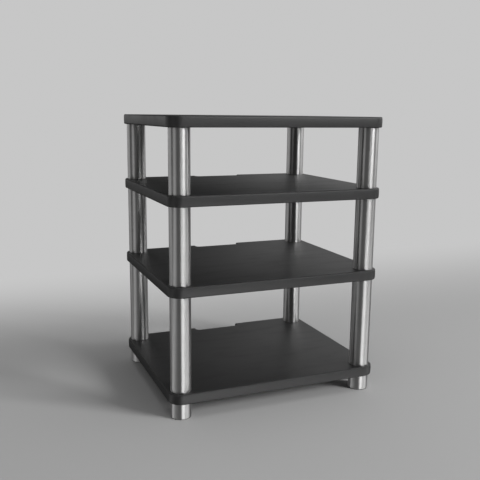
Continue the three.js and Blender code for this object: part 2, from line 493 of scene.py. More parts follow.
@dataclass(frozen=True)
class SatinBoard(Finish):
    """Satin black lacquer on fibreboard: a faint orange peel, wiped smears and duller edges."""

    slot: ClassVar[Slot] = Slot.BLACK_BOARD
    dark: Triple = (0.0080, 0.0080, 0.0082)
    light: Triple = (0.0115, 0.0115, 0.0117)
    # painted light: the edge faces get a lighter base colour than the top and underside, standing in for
    # the light that brightens the fronts
    painted_side_light: Triple = (0.0150, 0.0150, 0.0152)
    refraction: float = 1.65
    roughness: float = 0.43
    edge_dulling: float = 0.42
    smear_dulling: float = 0.05
    cloud_dulling: float = 0.06
    grain_dulling: float = 0.05
    cloud_share: float = 0.6
    tone_rise: Span = (0.25, 0.75)
    smear_rise: Span = (0.45, 0.75)
    cloud: Pattern = Pattern(0.16, 3.0)
    smear: Pattern = Pattern(0.035, 4.0, (0.3, 1.0, 1.0))
    grain: Pattern = Pattern(0.45 * MM, 1.0)
    peel: Pattern = Pattern(3.2 * MM, 1.0)
    grain_depth: float = 0.0022 * MM
    peel_depth: float = 0.012 * MM

    def constants(self) -> dict[str, object]:
        """Give the lacquer's constant sockets."""
        return {"Metallic": 0.0, "IOR": self.refraction}

    def surface(self, graph: Graph) -> dict[str, object]:
        """Give the lacquer's varying sockets."""
        cloud, grain = graph.noise(self.cloud), graph.noise(self.grain)
        edge, side = graph.attribute(EDGE_ATTRIBUTE), graph.attribute(SIDE_ATTRIBUTE)
        tone = (cloud * self.cloud_share + grain * (1 - self.cloud_share)).rise(*self.tone_rise)
        wiped = graph.noise(self.smear).rise(*self.smear_rise) * self.smear_dulling
        dulled = wiped + cloud.swing() * self.cloud_dulling + grain.swing() * self.grain_dulling
        peel = graph.relief(graph.noise(self.peel), self.peel_depth)
        return {
            # the edge faces are mixed towards the lighter painted colour, which is painted light on them
            "Base Color": graph.shade(side, graph.shade(tone, self.dark, self.light), self.painted_side_light),
            "Roughness": self.roughness + dulled + edge * self.edge_dulling,
            "Normal": graph.relief(grain, self.grain_depth, peel),
        }


@dataclass(frozen=True)
class BrushedStainless(Finish):
    """Nearly polished stainless tube, with fine polishing lines round it and faint finger marks."""

    slot: ClassVar[Slot] = Slot.STAINLESS
    dark: Triple = (0.572, 0.570, 0.567)
    light: Triple = (0.652, 0.650, 0.647)
    refraction: float = 2.5
    roughness: float = 0.3
    gloss_stretch: float = 0.95
    gloss_turn: float = 0.25
    line_dulling: float = 0.02
    mark_dulling: float = 0.015
    line_share: float = 0.7
    tone_rise: Span = (0.2, 0.8)
    mark_rise: Span = (0.52, 0.74)
    lines: Pattern = Pattern(0.35 * MM, 3.0, (0.015, 0.015, 1.0))
    bands: Pattern = Pattern(0.028, 2.0, (0.2, 0.2, 1.0))
    marks: Pattern = Pattern(0.028, 4.0)
    line_depth: float = 0.0002 * MM

    def constants(self) -> dict[str, object]:
        """Give the steel's constant sockets."""
        return {
            "Metallic": 1.0,
            "IOR": self.refraction,
            "Anisotropic": self.gloss_stretch,
            "Anisotropic Rotation": self.gloss_turn,
        }

    def surface(self, graph: Graph) -> dict[str, object]:
        """Give the steel's varying sockets."""
        lines, bands = graph.noise(self.lines), graph.noise(self.bands)
        marks = graph.noise(self.marks).rise(*self.mark_rise)
        tone = (lines * self.line_share + bands * (1 - self.line_share)).rise(*self.tone_rise)
        return {
            "Base Color": graph.shade(tone, self.dark, self.light),
            "Roughness": self.roughness + lines.swing() * self.line_dulling + marks * self.mark_dulling,
            "Normal": graph.relief(lines, self.line_depth),
        }


@dataclass(frozen=True)
class ZincPlate(Finish):
    """Bright zinc plate on rolled and forged steel, with a faint mottle of crystals."""

    slot: ClassVar[Slot] = Slot.ZINC_STEEL
    dark: Triple = (0.43, 0.44, 0.455)
    light: Triple = (0.57, 0.58, 0.585)
    roughness: float = 0.3
    crystal_dulling: float = 0.12
    grain_dulling: float = 0.1
    crystal_share: float = 0.6
    crystal_size: float = 1.1 * MM
    grain: Pattern = Pattern(0.25 * MM)
    grain_depth: float = 0.004 * MM

    def constants(self) -> dict[str, object]:
        """Give the plate's constant sockets."""
        return {"Metallic": 1.0}

    def surface(self, graph: Graph) -> dict[str, object]:
        """Give the plate's varying sockets."""
        sockets = {"Vector": graph.place(), "Scale": 1 / self.crystal_size}
        cells = graph.node("ShaderNodeTexVoronoi", {}, sockets).outputs["Color"]
        crystal = graph.axes(cells)[0]
        grain = graph.noise(self.grain)
        tone = crystal * self.crystal_share + grain * (1 - self.crystal_share)
        dulled = self.roughness + crystal * self.crystal_dulling
        return {
            "Base Color": graph.shade(tone, self.dark, self.light),
            "Roughness": dulled + grain.swing() * self.grain_dulling,
            "Normal": graph.relief(grain, self.grain_depth),
        }


@dataclass(frozen=True)
class MachinedBrass(Finish):
    """Free-cutting brass with the lathe's fine turning lines and a little tarnish."""

    slot: ClassVar[Slot] = Slot.BRASS
    bright: Triple = (0.66, 0.48, 0.20)
    tarnished: Triple = (0.44, 0.31, 0.13)
    roughness: float = 0.28
    tarnish_dulling: float = 0.2
    line_dulling: float = 0.12
    tarnish_rise: Span = (0.4, 0.8)
    lines: Pattern = Pattern(0.18 * MM, 2.0, (0.05, 0.05, 1.0))
    tarnish: Pattern = Pattern(4 * MM, 3.0)
    line_depth: float = 0.003 * MM

    def constants(self) -> dict[str, object]:
        """Give the brass's constant sockets."""
        return {"Metallic": 1.0}

    def surface(self, graph: Graph) -> dict[str, object]:
        """Give the brass's varying sockets."""
        lines = graph.noise(self.lines)
        tarnish = graph.noise(self.tarnish).rise(*self.tarnish_rise)
        dulled = self.roughness + tarnish * self.tarnish_dulling
        return {
            "Base Color": graph.shade(tarnish, self.bright, self.tarnished),
            "Roughness": dulled + lines.swing() * self.line_dulling,
            "Normal": graph.relief(lines, self.line_depth),
        }


@dataclass(frozen=True)
class MouldedNylon(Finish):
    """Matt black moulded nylon with a fine eroded texture and scuffs from the floor."""

    slot: ClassVar[Slot] = Slot.GLIDE_PLASTIC
    clean: Triple = (0.017, 0.017, 0.017)
    scuffed: Triple = (0.034, 0.033, 0.032)
    refraction: float = 1.53
    roughness: float = 0.6
    texture_dulling: float = 0.15
    scuff_polish: float = 0.08
    scuff_rise: Span = (0.5, 0.8)
    texture: Pattern = Pattern(0.3 * MM)
    scuffs: Pattern = Pattern(3 * MM, 3.0, (0.25, 1.0, 1.0))
    texture_depth: float = 0.012 * MM

    def constants(self) -> dict[str, object]:
        """Give the nylon's constant sockets."""
        return {"Metallic": 0.0, "IOR": self.refraction}

    def surface(self, graph: Graph) -> dict[str, object]:
        """Give the nylon's varying sockets."""
        texture = graph.noise(self.texture)
        scuff = graph.noise(self.scuffs).rise(*self.scuff_rise)
        dulled = self.roughness + texture.swing() * self.texture_dulling
        return {
            "Base Color": graph.shade(scuff, self.clean, self.scuffed),
            "Roughness": dulled - scuff * self.scuff_polish,
            "Normal": graph.relief(texture, self.texture_depth),
        }


# Shapes


@dataclass(frozen=True)
class Corner:
    """A corner of a turned profile."""

    radius: float
    height: float
    round: float = 0.0


def rounded(corners: Sequence[Corner], steps: int = 5, guard: float = 0.25 * MM) -> list[Point]:
    """Round the corners of a turned profile.

    Args:
        corners: The profile's corners, anticlockwise in the half plane of radius and height.
        steps: How many steps each rounding has.
        guard: How far past a rounding the next ring lies, which keeps the flat beside it flat.

    Returns:
        The profile's points.
    """
    points: list[Point] = []
    count = len(corners)
    for number, corner in enumerate(corners):
        here = Vector((corner.radius, corner.height))
        if corner.round == 0.0:
            points.append(here.to_tuple())
            continue
        arms = []
        for other in (corners[number - 1], corners[(number + 1) % count]):
            arm = Vector((other.radius, other.height)) - here
            arms.append((arm.normalized(), arm.length - other.round))
        (back, back_room), (ahead, ahead_room) = arms
        opening = back.angle(ahead)
        reach = corner.round / math.tan(opening / 2)
        centre = here + (back + ahead).normalized() * (corner.round / math.sin(opening / 2))
        start, end = here + back * reach - centre, here + ahead * reach - centre
        sweep = math.pi - opening
        least_room = reach + 3 * guard
        if back_room > least_room:
            points.append((here + back * (reach + guard)).to_tuple())
        for step in range(steps + 1):
            share = step / steps
            arm = start * math.sin((1 - share) * sweep) + end * math.sin(share * sweep)
            points.append((centre + arm / math.sin(sweep)).to_tuple())
        if ahead_room > least_room:
            points.append((here + ahead * (reach + guard)).to_tuple())
    return points


def level_ring(
    mesh: bmesh.types.BMesh, rule: Point | RingRule, steps: int, axis: Point = (0.0, 0.0)
) -> Ring:
    """Add the vertices of a ring, or one vertex where its radius is zero.

    Args:
        mesh: The mesh that gets them.
        rule: The ring's radius and height, or a rule that gives them for an angle.
        steps: How many steps go round it.
        axis: Where its axis stands.

    Returns:
        The ring.
    """
    if not callable(rule) and rule[0] == 0.0:
        steps = 1
    ring = []
    for step in range(steps):
        angle = FULL_TURN * step / steps
        radius, height = rule(angle) if callable(rule) else rule
        x, y = axis[0] + radius * math.cos(angle), axis[1] + radius * math.sin(angle)
        ring.append(mesh.verts.new((x, y, height)))
    return ring


def bridge(mesh: bmesh.types.BMesh, rings: Sequence[Ring]) -> None:
    """Join each ring to the next by faces; a ring of one vertex is a pole.

    Args:
        mesh: The mesh that holds the rings.
        rings: The rings in order.
    """
    for lower, upper in zip(rings, rings[1:]):
        for number in range(max(len(lower), len(upper))):
            after = number + 1
            corners = []
            for ring, index in ((lower, number), (lower, after), (upper, after), (upper, number)):
                vertex = ring[index % len(ring)]
                if vertex not in corners:
                    corners.append(vertex)
            mesh.faces.new(corners)


def turned(rules: Sequence[Point | RingRule], steps: int, closed: bool = True) -> bmesh.types.BMesh:
    """Make a round body about the Z axis.

    Args:
        rules: Its rings, each a radius and height, or a rule that gives them for an angle.
        steps: How many steps go round it.
        closed: Whether the last ring joins the first where no end of the profile lies on the axis.

    Returns:
        The mesh.
    """
    mesh = bmesh.new()
    rings = [level_ring(mesh, rule, steps) for rule in rules]
    if closed and len(rings[0]) > 1 and len(rings[-1]) > 1:
        rings.append(rings[0])
    bridge(mesh, rings)
    return mesh


@dataclass(frozen=True)
class Arc:
    """A quarter round of a board's outline; one that turns back runs round a hollow."""

    x: float
    y: float
    radius: float
    start: int
    steps: int
    hollow: bool = False

    def points(self, inset: float) -> Iterator[Point]:
        """Walk along the arc.

        Args:
            inset: How far it is moved into the board.

        Yields:
            Its points.
        """
        radius = self.radius + inset if self.hollow else self.radius - inset
        way = -1 if self.hollow else 1
        for step in range(self.steps + 1):
            angle = QUARTER * (self.start + way * step / self.steps)
            yield self.x + radius * math.cos(angle), self.y + radius * math.sin(angle)


@dataclass(frozen=True)
class EdgeRing:
    """A ring round a board's edge: how far in and how high it lies, and its shares of two surfaces."""

    inset: float
    height: float
    rounding: float
    side: float


# Pieces


@dataclass(frozen=True)
class Place:
    """Where the frame puts a node."""

    low: Vector
    high: Vector

    @classmethod
    def of(cls, node: str) -> "Place":
        """Read a node's box."""
        return cls(*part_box(node))

    @property
    def foot(self) -> Vector:
        """The middle of the box's lowest face."""
        middle = (self.low + self.high) / 2
        return Vector((middle.x, middle.y, self.low.z))

    @property
    def radius(self) -> float:
        """Half the box's width."""
        return (self.high.x - self.low.x) / 2

    @property
    def height(self) -> float:
        """The box's height."""
        return self.high.z - self.low.z


@dataclass
class Piece(ABC):
    """A piece of the rack, which stands for one node of the frame."""

    node: str
    slot: ClassVar[Slot]
    form: ClassVar[str]

    def __post_init__(self) -> None:
        """Find the node's place."""
        self.place = Place.of(self.node)

    @abstractmethod
    def shape(self) -> bmesh.types.BMesh:
        """Build the piece with its foot at the origin."""

    def build(self, finishes: Mapping[Slot, bpy.types.Material], bodies: Mapping[str, str]) -> None:
        """Make the piece, put it in its place and hand it to its body.

        Args:
            finishes: The material of each slot.
            bodies: The body of each node.
        """
        shape = self.shape()
        bmesh.ops.recalc_face_normals(shape, faces=shape.faces)
        data = bpy.data.meshes.new(f"{self.node}_{self.form}")
        shape.to_mesh(data)
        shape.free()
        piece = bpy.data.objects.new(data.name, data)
        bpy.context.scene.collection.objects.link(piece)
        data.materials.append(finishes[self.slot])
        self.work(piece, finishes[self.slot])
        piece.data.transform(Matrix.Translation(self.place.foot))
        piece.data.name = piece.name
        piece.data.shade_smooth()
        piece.data.set_sharp_from_angle(angle=CREASE_ANGLE)
        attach(piece, bodies[self.node])
        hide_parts(self.node)
        LOG.info("%s: %d faces on %s", piece.name, len(piece.data.polygons), bodies[self.node])

    def work(self, piece: bpy.types.Object, finish: bpy.types.Material) -> None:
        """Do what is left to geometry nodes, on a piece that needs it."""


@dataclass
class Board(Piece):
    """A shelf board with rounded corners and edges, drilled for the columns."""

    columns: Sequence[Point]
    drilling: HoleKind
    hole_radius: float
    hole_depth: float
    corner_radius: float = 35 * MM
    edge_radius: float = 3 * MM
    corner_steps: int = 28
    edge_steps: int = 7
    edge_guard: float = 0.7 * MM
    edge_crown: float = 0.7 * MM
    crown_steps: int = 4
    hole_bevel: float = 0.6 * MM
    hole_steps: int = 48
    drill_point: float = math.radians(31)
    notch_width: float = 140 * MM
    notch_depth: float = 22 * MM
    notch_inner_radius: float = 10 * MM
    notch_lip_radius: float = 5 * MM
    notch_steps: int = 12
    slot: ClassVar[Slot] = Slot.BLACK_BOARD
    form: ClassVar[str] = "lacquered"

    def arcs(self) -> list[Arc]:
        """List the arcs of the outline, anticlockwise from the front left corner."""
        half_x, half_y = (self.place.high.xy - self.place.low.xy) / 2
        round_off = self.corner_radius
        x, y = half_x - round_off, half_y - round_off
        steps = self.corner_steps
        arcs = [
            Arc(-x, -y, round_off, 2, steps),
            Arc(x, -y, round_off, 3, steps),
            Arc(x, y, round_off, 0, steps),
        ]
        if self.drilling is HoleKind.THROUGH:
            half = self.notch_width / 2
            lip, inner = self.notch_lip_radius, self.notch_inner_radius
            lip_x, lip_y = half + lip, half_y - lip
            inner_x, inner_y = half - inner, half_y - self.notch_depth + inner
            arcs += [
                Arc(lip_x, lip_y, lip, 1, self.notch_steps),
                Arc(inner_x, inner_y, inner, 0, self.notch_steps, hollow=True),
                Arc(-inner_x, inner_y, inner, -1, self.notch_steps, hollow=True),
                Arc(-lip_x, lip_y, lip, 0, self.notch_steps),
            ]
        arcs.append(Arc(-x, y, round_off, 1, steps))
        return arcs

    def edge_profile(self) -> list[EdgeRing]:
        """List the rings from the underside up the slightly crowned edge to the top."""
        round_off, middle = self.edge_radius, self.place.height / 2
        crown = self.edge_crown
        lower = [EdgeRing(round_off + crown + self.edge_guard, 0.0, 0.0, 0.0)]
        for step in range(self.edge_steps + 1):
            turn = QUARTER * step / self.edge_steps
            height = round_off * (1 - math.cos(turn))
            inset = round_off * (1 - math.sin(turn)) + crown * (1 - height / middle) ** 2
            lower.append(EdgeRing(inset, height, math.sin(2 * turn), math.sin(turn)))
        for step in range(1, self.crown_steps + 1):
            height = round_off + (middle - round_off) * step / (self.crown_steps + 1)
            lower.append(EdgeRing(crown * (1 - height / middle) ** 2, height, 0.0, 1.0))
        upper = [replace(ring, height=2 * middle - ring.height) for ring in reversed(lower)]
        return [*lower, EdgeRing(0.0, middle, 0.0, 1.0), *upper]

    def drill(self, shape: bmesh.types.BMesh, column: Point) -> tuple[Ring, Ring]:
        """Add the inside of one hole.

        Args:
            shape: The mesh of the board.
            column: Where the hole's axis is.

        Returns:
            The ring in the underside, and the ring in the top or nothing.
        """
        radius, bevel, depth = self.hole_radius, self.hole_bevel, self.hole_depth
        profile = [(radius + bevel, 0.0), (radius, bevel)]
        if self.drilling is HoleKind.THROUGH:
            profile += [(radius, depth - bevel), (radius + bevel, depth)]
        else:
            profile += [(radius, depth), (0.0, depth + radius * math.tan(self.drill_point))]
        rings = [level_ring(shape, point, self.hole_steps, column) for point in profile]
        bridge(shape, rings)
        return rings[0], rings[-1] if self.drilling is HoleKind.THROUGH else []

    def shape(self) -> bmesh.types.BMesh:
        """Build the board from the rings up its edge, its holes and its two faces."""
        shape = bmesh.new()
        edge_layer = shape.verts.layers.float.new(EDGE_ATTRIBUTE)
        side_layer = shape.verts.layers.float.new(SIDE_ATTRIBUTE)
        arcs = self.arcs()
        rings = []
        for place in self.edge_profile():
            points = [point for arc in arcs for point in arc.points(place.inset)]
            ring = [shape.verts.new((*point, place.height)) for point in points]
            for vertex in ring:
                vertex[edge_layer] = place.rounding
                vertex[side_layer] = place.side
            rings.append(ring)
        bridge(shape, rings)
        holes = [self.drill(shape, column) for column in self.columns]
        for outline, side in ((rings[0], 0), (rings[-1], 1)):
            borders = [outline, *(hole[side] for hole in holes if hole[side])]
            edges = [
                shape.edges.get((vertex, border[number - 1]))
                for border in borders
                for number, vertex in enumerate(border)
            ]
            bmesh.ops.triangle_fill(shape, use_beauty=True, use_dissolve=False, edges=edges)
        return shape


@dataclass
class SteelTube(Piece):
    """A length of the columns' steel tube, with threaded plate welded into it."""

    thread_radius: float
    thickness: float = 1.5 * MM
    rim: float = 0.6 * MM
    plate: float = 8 * MM
    lead_in: float = 1 * MM
    steps: int = 128
    slot: ClassVar[Slot] = Slot.STAINLESS
    form: ClassVar[str] = "polished"


@dataclass
class ColumnTube(SteelTube):
    """A column tube with a threaded plate flush in each end."""

    seam_width: float = 0.5 * MM
    seam_depth: float = 0.35 * MM
    weld: float = 1.5 * MM

    def shape(self) -> bmesh.types.BMesh:
        """Turn the tube, its plates and their weld seams in one."""
        outer, length, thread = self.place.radius, self.place.height, self.thread_radius
        inner = outer - self.thickness
        half_seam = self.seam_width / 2
        end = [
            Corner(thread, self.lead_in),
            Corner(thread + self.lead_in, 0.0),
            Corner(inner - half_seam, 0.0),
            Corner(inner, self.seam_depth),
            Corner(inner + half_seam, 0.0),
            Corner(outer, 0.0, self.rim),
        ]
        other_end = [replace(corner, height=length - corner.height) for corner in reversed(end)]
        inside = [
            Corner(thread, length - self.plate),
            Corner(inner, length - self.plate, self.weld),
            Corner(inner, self.plate, self.weld),
            Corner(thread, self.plate),
        ]
        return turned(rounded(end + other_end + inside), self.steps)


@dataclass
class FootSleeve(SteelTube):
    """The turning sleeve of a foot, open at both ends, with its threaded plate inside."""

    plate_room: float = field(kw_only=True)
    inner_rim: float = 0.3 * MM
    weld: float = 1 * MM

    def shape(self) -> bmesh.types.BMesh:
        """Turn the sleeve and its plate in one."""
        outer, length, thread = self.place.radius, self.place.height, self.thread_radius
        inner = outer - self.thickness
        plate_top = length - self.plate_room
        plate_bottom = plate_top - self.plate
        corners = [
            Corner(inner, 0.0, self.inner_rim),
            Corner(outer, 0.0, self.rim),
            Corner(outer, length, self.rim),
            Corner(inner, length, self.inner_rim),
            Corner(inner, plate_top, self.weld),
            Corner(thread + self.lead_in, plate_top),
            Corner(thread, plate_top - self.lead_in),
            Corner(thread, plate_bottom + self.lead_in),
            Corner(thread + self.lead_in, plate_bottom),
            Corner(inner, plate_bottom, self.weld),
        ]
        return turned(rounded(corners), self.steps)


@dataclass
class FootGlide(Piece):
    """The nylon dish under a foot, with a ring-shaped spigot and one moulded ring groove below."""

    sleeve_bore: float
    reveal: float
    swivel_gap: float = 0.6 * MM
    spigot_thickness: float = 3 * MM
    floor: float = 2.5 * MM
    soft_edge: float = 0.4 * MM
    groove_share: float = 0.55
    groove_width: float = 3 * MM
    groove_depth: float = 0.6 * MM
    flat_guard: float = 0.1 * MM
    steps: int = 112
    slot: ClassVar[Slot] = Slot.GLIDE_PLASTIC
    form: ClassVar[str] = "moulded"

    def shape(self) -> bmesh.types.BMesh:
        """Turn the dish."""
        flange, top = self.place.radius, self.place.height
        spigot = self.sleeve_bore - self.swivel_gap
        well = spigot - self.spigot_thickness
        soft = self.soft_edge
        middle, half = flange * self.groove_share, self.groove_width / 2
        corners = [
            Corner(0.0, 0.0),
            Corner(middle - half, 0.0),
            Corner(middle - half, self.groove_depth),
            Corner(middle + half, self.groove_depth),
            Corner(middle + half, 0.0),
            Corner(flange, 0.0, soft),
            Corner(flange, self.reveal, soft / 2),
            Corner(spigot, self.reveal, soft / 2),
            Corner(spigot, top, soft),
            Corner(well, top, soft),
            Corner(well, self.floor, soft),
            Corner(0.0, self.floor),
        ]
        return turned(rounded(corners, guard=self.flat_guard), self.steps)


@dataclass
class Washer(Piece):
    """A pressed washer: rounded where the punch went in, and sharp on the other side."""

    bore: float
    punched_edge: float = 0.5 * MM
    sharp_edge: float = 0.12 * MM
    steps: int = 72
    slot: ClassVar[Slot] = Slot.ZINC_STEEL
    form: ClassVar[str] = "pressed"

    def shape(self) -> bmesh.types.BMesh:
        """Turn the washer."""
        outer, top = self.place.radius, self.place.height
        corners = [
            Corner(self.bore, 0.0, self.punched_edge),
            Corner(outer, 0.0, self.punched_edge),
            Corner(outer, top, self.sharp_edge),
            Corner(self.bore, top, self.sharp_edge),
        ]
        return turned(rounded(corners), self.steps)


@dataclass
class HexNut(Piece):
    """A hexagon nut whose corners are turned off at both faces."""

    bore: float
    lead_in: float = 1 * MM
    face_share: float = 0.96
    corner_slope: float = math.radians(30)
    steps: int = 144
    slot: ClassVar[Slot] = Slot.ZINC_STEEL
    form: ClassVar[str] = "forged"

    def shape(self) -> bmesh.types.BMesh:
        """Turn the nut, whose outer rings follow the hexagon."""
        half_flats = (self.place.high.y - self.place.low.y) / 2
        face = half_flats * self.face_share
        top = self.place.height
        sixth = FULL_TURN / 6

        def side(angle: float) -> Point:
            """Give the hexagon's radius at an angle and how far its edge is turned down there."""
            radius = half_flats / math.cos(angle % sixth - sixth / 2)
            return radius, (radius - face) * math.tan(self.corner_slope)

        def upper(angle: float) -> Point:
            """Follow the upper edge of the flats."""
            radius, drop = side(angle)
            return radius, top - drop

        rings = [
            (self.bore, self.lead_in),
            (self.bore + self.lead_in, 0.0),
            (face, 0.0),
            side,
            upper,
            (face, top),
            (self.bore + self.lead_in, top),
            (self.bore, top - self.lead_in),
        ]
        return turned(rings, self.steps)


@dataclass
class ThreadedInsert(Piece):
    """A brass bush with two knurled bands that is pressed into a board."""

    bore: float
    knurl: Recipe
    lead_in: float = 0.8 * MM
    groove_share: float = 0.18
    groove_depth: float = 0.8 * MM
    band_edge: float = 0.4 * MM
    teeth: int = 36
    tooth_depth: float = 0.35 * MM
    steps_a_tooth: int = 4
    slot: ClassVar[Slot] = Slot.BRASS
    form: ClassVar[str] = "knurled"

    def shape(self) -> bmesh.types.BMesh:
        """Turn the plain bush with the groove between its bands."""
        outer, top = self.place.radius, self.place.height
        edge, waist = self.band_edge, outer - self.groove_depth
        half_groove = top * self.groove_share / 2
        low, high = top / 2 - half_groove, top / 2 + half_groove
        rings = [
            (self.bore, self.lead_in),
            (self.bore + self.lead_in, 0.0),
            (outer - edge, 0.0),
            (outer, edge),
            (outer, low - edge),
            (waist, low),
            (waist, high),
            (outer, high + edge),
            (outer, top - edge),
            (outer - edge, top),
            (self.bore + self.lead_in, top),
            (self.bore, top - self.lead_in),
        ]
        return turned(rings, self.teeth * self.steps_a_tooth)

    def work(self, piece: bpy.types.Object, finish: bpy.types.Material) -> None:
        """Press the knurling into both bands."""
        values = {
            "Outer Radius": self.place.radius,
            "Teeth": float(self.teeth),
            "Tooth Depth": self.tooth_depth,
            "Finish": finish,
        }
        self.knurl.run(piece, values)


@dataclass
class ThreadedStud(Piece):
    """A length of threaded rod with bevelled tips."""

    thread: Recipe
    pitch: float = 1.5 * MM
    thread_depth: float = 0.92 * MM
    tip_bevel: float = 1 * MM
    crest_share: float = 0.125
    root_share: float = 0.25
    steps: int = 24
    rows_a_turn: int = 8
    slot: ClassVar[Slot] = Slot.ZINC_STEEL
    form: ClassVar[str] = "threaded"

    def shape(self) -> bmesh.types.BMesh:
        """Start from nothing: the whole rod comes from the thread's own tree."""
        return bmesh.new()

    def work(self, piece: bpy.types.Object, finish: bpy.types.Material) -> None:
        """Roll the thread."""
        values = {
            "Length": self.place.height,
            "Radius": self.place.radius,
            "Pitch": self.pitch,
            "Thread Depth": self.thread_depth,
            "Tip Bevel": self.tip_bevel,
            "Crest Share": self.crest_share,
            "Root Share": self.root_share,
            "Steps Around": self.steps,
            "Rows A Turn": self.rows_a_turn,
            "Finish": finish,
        }
        self.thread.run(piece, values)


@dataclass
class Rack:
    """The whole rack: its boards, and everything on the axis of each column."""

    corners: tuple[str, ...] = ("front_left", "front_right", "rear_left", "rear_right")
    storeys: tuple[str, ...] = ("lower", "middle", "upper")
    drilled_shelves: tuple[str, ...] = ("bottom_shelf", "lower_shelf", "upper_shelf")
    closed_shelf: str = "top_shelf"
    thread_clearance: float = 0.3 * MM
    stud_hole_clearance: float = 0.5 * MM
    insert_clearance: float = 0.3 * MM
    insert_tip_room: float = 1 * MM
    nut_to_plate: float = 1.5 * MM

    def boards(self) -> Iterator[Piece]:
        """List the boards."""
        stud = Place.of(f"lower_stud_{self.corners[0]}")
        insert = Place.of(f"top_insert_{self.corners[0]}")
        columns = [Place.of(f"lower_tube_{corner}").foot.xy.to_tuple() for corner in self.corners]
        for node in self.drilled_shelves:
            radius = stud.radius + self.stud_hole_clearance
            yield Board(node, columns, HoleKind.THROUGH, radius, Place.of(node).height)
        radius = insert.radius + self.insert_clearance
        depth = insert.high.z + self.insert_tip_room - Place.of(self.closed_shelf).low.z
        yield Board(self.closed_shelf, columns, HoleKind.BLIND, radius, depth)

    def column(self, corner: str, thread: Recipe, knurl: Recipe) -> Iterator[Piece]:
        """List the pieces of one column.

        Args:
            corner: The name of its corner.
            thread: The recipe of its studs.
            knurl: The recipe of its insert's knurling.

        Yields:
            The pieces, from the top down.
        """
        stud = Place.of(f"lower_stud_{corner}")
        thread_radius = stud.radius + self.thread_clearance
        sleeve = Place.of(f"foot_sleeve_{corner}")
        nut = Place.of(f"clamp_nut_{corner}")
        yield ThreadedInsert(f"top_insert_{corner}", thread_radius, knurl)
        for name in ("top", "upper", "lower", "levelling"):
            yield ThreadedStud(f"{name}_stud_{corner}", thread)
        for storey in self.storeys:
            yield ColumnTube(f"{storey}_tube_{corner}", thread_radius)
        yield Washer(f"clamp_washer_{corner}", stud.radius + self.stud_hole_clearance)
        yield HexNut(f"clamp_nut_{corner}", thread_radius)
        plate_room = sleeve.high.z - nut.low.z + self.nut_to_plate
        foot = FootSleeve(f"foot_sleeve_{corner}", thread_radius, plate_room=plate_room)
        yield foot
        yield FootGlide(f"foot_glide_{corner}", sleeve.radius - foot.thickness, sleeve.low.z)

    def build(self) -> None:
        """Build every piece of the rack."""
        kinds = (SatinBoard, BrushedStainless, ZincPlate, MachinedBrass, MouldedNylon)
        finishes = {kind.slot: kind().material() for kind in kinds}
        groups = frame["record"]["behaviour"]["bodies"]
        bodies = {node: body for body, nodes in groups.items() for node in nodes}
        thread, knurl = thread_recipe(), knurl_recipe()
        pieces = list(self.boards())
        for corner in self.corners:
            pieces += self.column(corner, thread, knurl)
        for piece in pieces:
            piece.build(finishes, bodies)


# Studio


def direction(azimuth: float, elevation: float = 0.0) -> Vector:
    """Point away from the rack.

    Args:
        azimuth: Degrees from straight in front of the rack towards +X.
        elevation: Degrees above the floor.

    Returns:
        The unit vector.
    """
    turn, rise = math.radians(azimuth), math.radians(elevation)
    level = math.cos(rise)
    return Vector((math.sin(turn) * level, -math.cos(turn) * level, math.sin(rise)))


def grey(level: float) -> Triple:
    """Give a neutral colour."""
    return level, level, level


@dataclass(frozen=True)
class SoftBox:
    """A soft lamp that faces the rack; its level is how bright it makes a white card there."""

    title: str
    azimuth: float
    elevation: float
    distance: float
    width: float
    height: float
    level: float

    def build(self, target: Vector) -> None:
        """Hang the lamp.

        Args:
            target: The point that it faces.
        """
        lamp = bpy.data.lights.new(self.title, "AREA")
        lamp.shape = "RECTANGLE"
        lamp.size, lamp.size_y = self.width, self.height
        lamp.energy = self.level * (math.pi * self.distance) ** 2
        holder = bpy.data.objects.new(self.title, lamp)
        away = direction(self.azimuth, self.elevation)
        holder.location = target + away * self.distance
        holder.rotation_mode = "QUATERNION"
        holder.rotation_quaternion = away.to_track_quat("Z", "Y")
        holder.visible_glossy = False
        holder.visible_camera = False
        bpy.context.scene.collection.objects.link(holder)


@dataclass(frozen=True)
class Panel:
    """A soft bright patch that shows only in the rack's gloss, as wide as its spread to each side.

    All its angles are in degrees.
    """

    title: str
    azimuth: float
    spread: float
    low: float
    high: float
    level: float
    lean: float = 0.0
    feather: float = 6.0
    distance: float = 8.0
    steps: int = 12

    def build(self, centre: Vector) -> None:
        """Hang the panel as a patch of a sphere, whose glow fades out at its edges.

        Args:
            centre: The middle of the sphere.
        """
        across = [(-self.spread - self.feather, 0.0), (-self.spread, 1.0)]
        across += [(self.spread, 1.0), (self.spread + self.feather, 0.0)]
        upward = [(self.low - self.feather, 0.0)]
        for step in range(self.steps + 1):
            upward.append((self.low + (self.high - self.low) * step / self.steps, 1.0))
        upward.append((self.high + self.feather, 0.0))
        shape = bmesh.new()
        layer = shape.verts.layers.float.new(GLOW_ATTRIBUTE)
        rows = []
        for rise, row_glow in upward:
            row = []
            for turn, glow in across:
                away = direction(self.azimuth + self.lean * rise + turn, rise)
                vertex = shape.verts.new(centre + away * self.distance)
                vertex[layer] = glow * row_glow
                row.append(vertex)
            rows.append(row)
        for lower, upper in zip(rows, rows[1:]):
            for number in range(len(across) - 1):
                shape.faces.new((lower[number], lower[number + 1], upper[number + 1], upper[number]))
        panel = stage_object(self.title, shape, self.material())
        panel.visible_camera = False
        panel.visible_diffuse = False
        panel.visible_shadow = False
        panel.visible_transmission = False
        panel.visible_volume_scatter = False

    def material(self) -> bpy.types.Material:
        """Build the glow, which is clear where it has faded out."""
        made, graph = blank_material(self.title)
        glow = graph.attribute(GLOW_ATTRIBUTE)
        clear = graph.node("ShaderNodeBsdfTransparent").outputs[0]
        bright = graph.node("ShaderNodeEmission", {}, {"Strength": self.level}).outputs[0]
        mixed = graph.node("ShaderNodeMixShader", {}, {0: glow, 1: clear, 2: bright})
        graph.node("ShaderNodeOutputMaterial", {}, {"Surface": mixed.outputs[0]})
        return made


